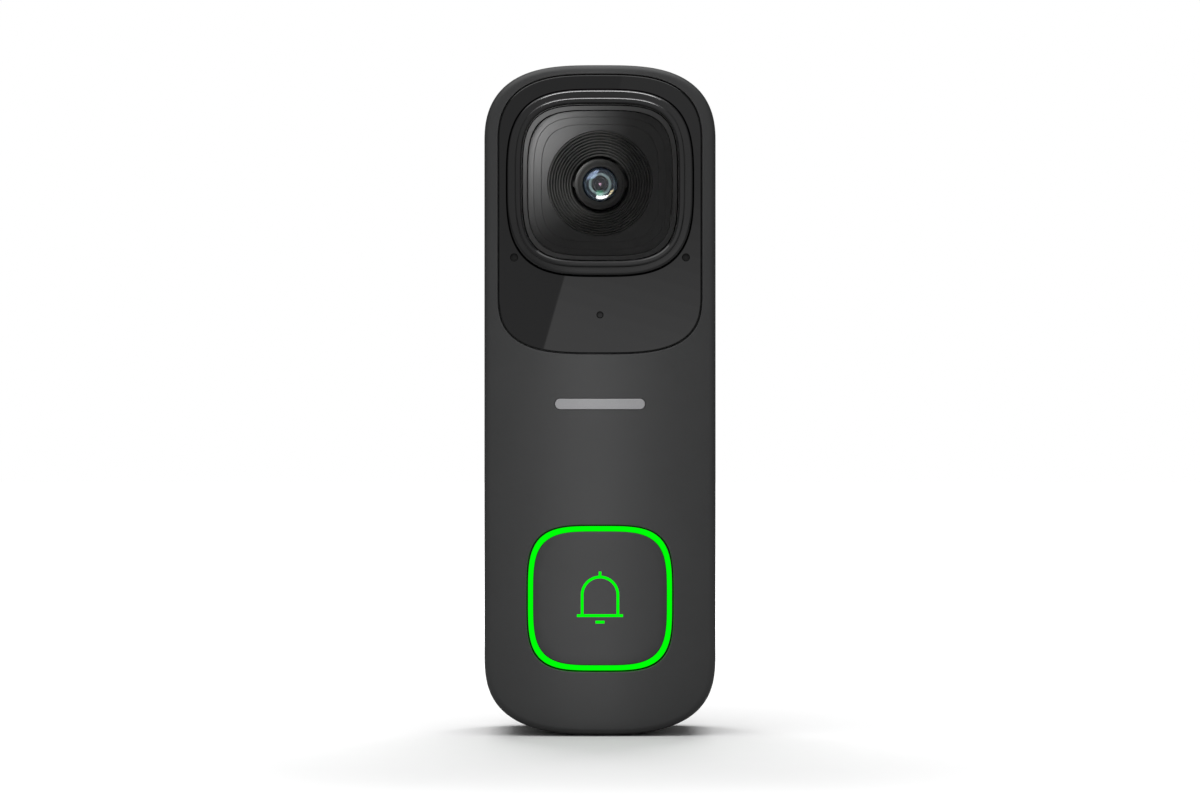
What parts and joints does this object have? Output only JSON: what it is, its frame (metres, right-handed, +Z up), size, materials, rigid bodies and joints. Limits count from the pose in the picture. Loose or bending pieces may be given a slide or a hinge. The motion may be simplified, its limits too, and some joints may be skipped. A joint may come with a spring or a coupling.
{
  "type": "video doorbell",
  "caption": "Slim upright wired video doorbell: camera behind a domed square-round window, lit square-round bell button below, on a wall bracket it hooks onto and tilts down against.",
  "frame": {"origin": "midpoint between the two wall screw holes, on the wall plane at the back of the bracket", "axes": "+Z up along the doorbell's length, +Y into the wall (the front faces -Y), +X to the right of someone facing the front"},
  "size_m": [0.046, 0.0282, 0.1332],
  "materials": {
    "bracket": "matte, moulded",
    "steel": "plated",
    "casing": "satin, fine grain",
    "soft_rubber": "matte",
    "badge": "satin",
    "panel": "high gloss",
    "matte_black": "matte",
    "trim": "satin gloss",
    "window": "smoked, polished",
    "lens": "coated optical glass",
    "nickel": "nickel plated",
    "copper": "enamelled copper wire",
    "chip": "moulded epoxy",
    "board": "solder mask",
    "white_plastic": "milky",
    "pad": "soft gap filler",
    "alloy": "blasted",
    "film": "polyimide film",
    "brass": "machined",
    "paper_cone": "matte",
    "lit_green": "lit from behind"
  },
  "bodies": {
    "bracket": {"wall_bracket": "bracket", "hinge_rod": "steel"},
    "security_screw": {"security_screw": "steel"},
    "bell_button": {"button_cap": "casing", "light_ring": "lit_green", "bell_icon": "lit_green", "button_carrier": "trim"},
    "switch_plunger": {"switch_plunger": "white_plastic"},
    "reset_button": {"reset_button": "white_plastic"},
    "service_flap": {"service_flap": "soft_rubber"},
    "memory_card": {"sd_card": "chip"},
    "night_filter": {"filter_frame": "steel", "filter_panes": "lens"},
    "speaker_cone": {"speaker_cone": "paper_cone"},
    "housing": {"rear_housing": "casing", "front_shell": "casing", "housing_seal": "soft_rubber", "housing_screws": "steel", "badge_bar": "badge", "camera_panel": "panel", "adhesives": "matte_black", "lens_bezel": "trim", "bezel_trim": "trim", "window_glass": "window", "window_seal": "soft_rubber", "lens_baffle": "matte_black", "lens_barrel": "trim", "front_lens": "lens", "inner_lenses": "lens", "lens_spacer": "nickel", "lens_holder": "matte_black", "filter_coil": "copper", "image_sensor": "chip", "camera_board": "board", "camera_screws": "steel", "night_leds": "chip", "night_board": "board", "mic_boots": "soft_rubber", "microphones": "nickel", "light_pipe": "white_plastic", "light_sensor": "chip", "main_board": "board", "shield_can": "nickel", "thermal_pad": "pad", "heat_spreader": "alloy", "board_parts": "chip", "supercapacitors": "alloy", "board_screws": "steel", "flex_cables": "film", "antenna": "film", "terminal_posts": "brass", "terminal_screws": "steel", "terminal_washers": "brass", "speaker_frame": "matte_black", "speaker_magnet": "steel", "speaker_surround": "soft_rubber", "speaker_mesh": "chip", "button_board": "board", "switch_body": "chip", "sd_socket": "nickel"}
  },
  "joints": [
    {"name": "housing_tilt", "type": "hinge", "parent": "bracket", "child": "housing", "pos_m": [0, -0.0046, 0.0615], "axis": [-1, 0, 0], "range_deg": [0, 15]},
    {"name": "screw_back_off", "type": "slide", "parent": "bracket", "child": "security_screw", "axis": [0, 0, -1], "range_m": [0, 0.003]},
    {"name": "button_press", "type": "slide", "parent": "housing", "child": "bell_button", "axis": [0, 1, 0], "range_m": [0, 0.0006], "stiffness_N_per_m": 2000, "springref_m": -0.0004},
    {"name": "plunger_press", "type": "slide", "parent": "housing", "child": "switch_plunger", "axis": [0, 1, 0], "range_m": [0, 0.0006]},
    {"name": "reset_press", "type": "slide", "parent": "housing", "child": "reset_button", "axis": [-1, 0, 0], "range_m": [0, 0.0004], "stiffness_N_per_m": 1500, "springref_m": -0.0003},
    {"name": "flap_open", "type": "hinge", "parent": "housing", "child": "service_flap", "pos_m": [0.0222, -0.004, 0], "axis": [0, 0, 1], "range_deg": [0, 90]},
    {"name": "card_slide", "type": "slide", "parent": "housing", "child": "memory_card", "axis": [1, 0, 0], "range_m": [-0.0006, 0.0024]},
    {"name": "filter_shift", "type": "slide", "parent": "housing", "child": "night_filter", "axis": [-1, 0, 0], "range_m": [0, 0.0055]},
    {"name": "cone_move", "type": "slide", "parent": "housing", "child": "speaker_cone", "axis": [0, 0, 1], "range_m": [-0.0003, 0.0003], "stiffness_N_per_m": 900}
  ],
  "couplings": [
    {"joint": "plunger_press", "follows": "button_press", "ratio": 1}
  ]
}
